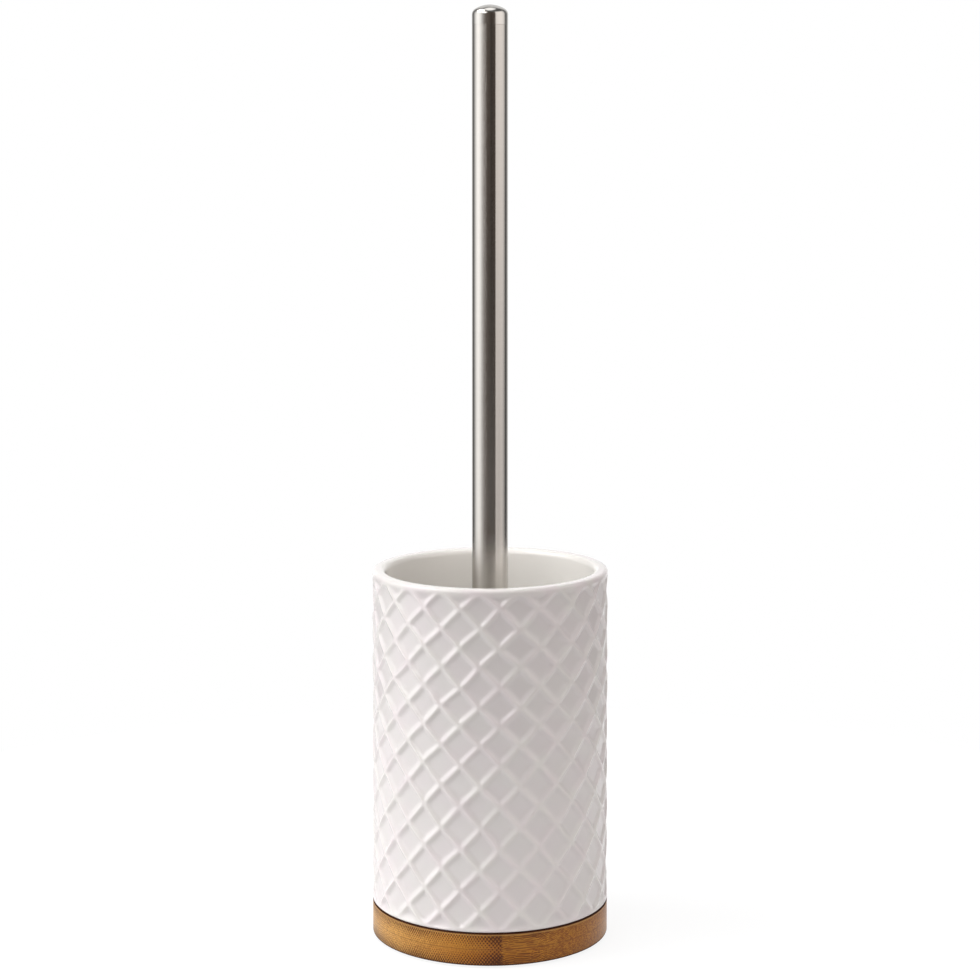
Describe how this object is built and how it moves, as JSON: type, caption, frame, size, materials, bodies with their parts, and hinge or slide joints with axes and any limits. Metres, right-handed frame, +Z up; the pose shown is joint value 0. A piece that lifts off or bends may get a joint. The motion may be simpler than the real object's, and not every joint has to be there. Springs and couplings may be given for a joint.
{
  "type": "toilet brush holder",
  "caption": "Round ceramic toilet brush holder with a raised diamond lattice on a bamboo base, and a loose brush with a bristle head and a screwed-on steel handle.",
  "frame": {"origin": "on the holder's axis, in the plane of the undersides of the foot pads", "axes": "+Z up along the common axis of the cup and the brush; -Y is the side seen from the front"},
  "size_m": [0.1, 0.1, 0.3945],
  "materials": {
    "glazed_ceramic": "glossy off-white glaze",
    "bamboo": "carbonised laminated bamboo, satin oil",
    "silicone": "cured adhesive bead",
    "pad_foam": "matt closed-cell foam",
    "white_plastic": "moulded polypropylene",
    "bristle": "white filaments",
    "black_rubber": "matt",
    "steel": "stainless, brushed along the tube"
  },
  "bodies": {
    "holder": {"ceramic_cup": "glazed_ceramic", "bamboo_base": "bamboo", "bond_ring": "silicone", "foot_pad_1": "pad_foam", "foot_pad_2": "pad_foam", "foot_pad_3": "pad_foam", "foot_pad_4": "pad_foam"},
    "brush_head": {"head_core": "white_plastic", "bristle_tuft_ring1_1": "bristle", "bristle_tuft_ring1_2": "bristle", "bristle_tuft_ring1_3": "bristle", "bristle_tuft_ring1_4": "bristle", "bristle_tuft_ring1_5": "bristle", "bristle_tuft_ring1_6": "bristle", "bristle_tuft_ring1_7": "bristle", "bristle_tuft_ring1_8": "bristle", "bristle_tuft_ring2_1": "bristle", "bristle_tuft_ring2_2": "bristle", "bristle_tuft_ring2_3": "bristle", "bristle_tuft_ring2_4": "bristle", "bristle_tuft_ring2_5": "bristle", "bristle_tuft_ring2_6": "bristle", "bristle_tuft_ring2_7": "bristle", "bristle_tuft_ring2_8": "bristle", "bristle_tuft_ring3_1": "bristle", "bristle_tuft_ring3_2": "bristle", "bristle_tuft_ring3_3": "bristle", "bristle_tuft_ring3_4": "bristle", "bristle_tuft_ring3_5": "bristle", "bristle_tuft_ring3_6": "bristle", "bristle_tuft_ring3_7": "bristle", "bristle_tuft_ring3_8": "bristle", "bristle_tuft_ring4_1": "bristle", "bristle_tuft_ring4_2": "bristle", "bristle_tuft_ring4_3": "bristle", "bristle_tuft_ring4_4": "bristle", "bristle_tuft_ring4_5": "bristle", "bristle_tuft_ring4_6": "bristle", "bristle_tuft_ring4_7": "bristle", "bristle_tuft_ring4_8": "bristle", "bristle_tuft_ring5_1": "bristle", "bristle_tuft_ring5_2": "bristle", "bristle_tuft_ring5_3": "bristle", "bristle_tuft_ring5_4": "bristle", "bristle_tuft_ring5_5": "bristle", "bristle_tuft_ring5_6": "bristle", "bristle_tuft_ring5_7": "bristle", "bristle_tuft_ring5_8": "bristle", "bristle_tuft_crown_1": "bristle", "bristle_tuft_crown_2": "bristle", "bristle_tuft_crown_3": "bristle", "bristle_tuft_crown_4": "bristle", "bristle_tuft_crown_5": "bristle", "bristle_tuft_crown_6": "bristle", "bristle_tuft_tip": "bristle"},
    "seal": {"seal_washer": "black_rubber"},
    "handle": {"thread_bush": "white_plastic", "handle_tube": "steel", "handle_cap": "steel"}
  },
  "joints": [
    {"name": "brush_lift", "type": "slide", "parent": "holder", "child": "brush_head", "axis": [0, 0, 1], "range_m": [0, 0.16]},
    {"name": "handle_turn", "type": "hinge", "parent": "brush_head", "child": "seal", "pos_m": [0, 0, 0.1119], "axis": [0, 0, 1], "range_deg": [0, 2160]},
    {"name": "handle_rise", "type": "slide", "parent": "seal", "child": "handle", "axis": [0, 0, 1], "range_m": [0, 0.0122]}
  ],
  "couplings": [
    {"joint": "handle_rise", "follows": "handle_turn", "m_per_rad": 0.00031831}
  ]
}
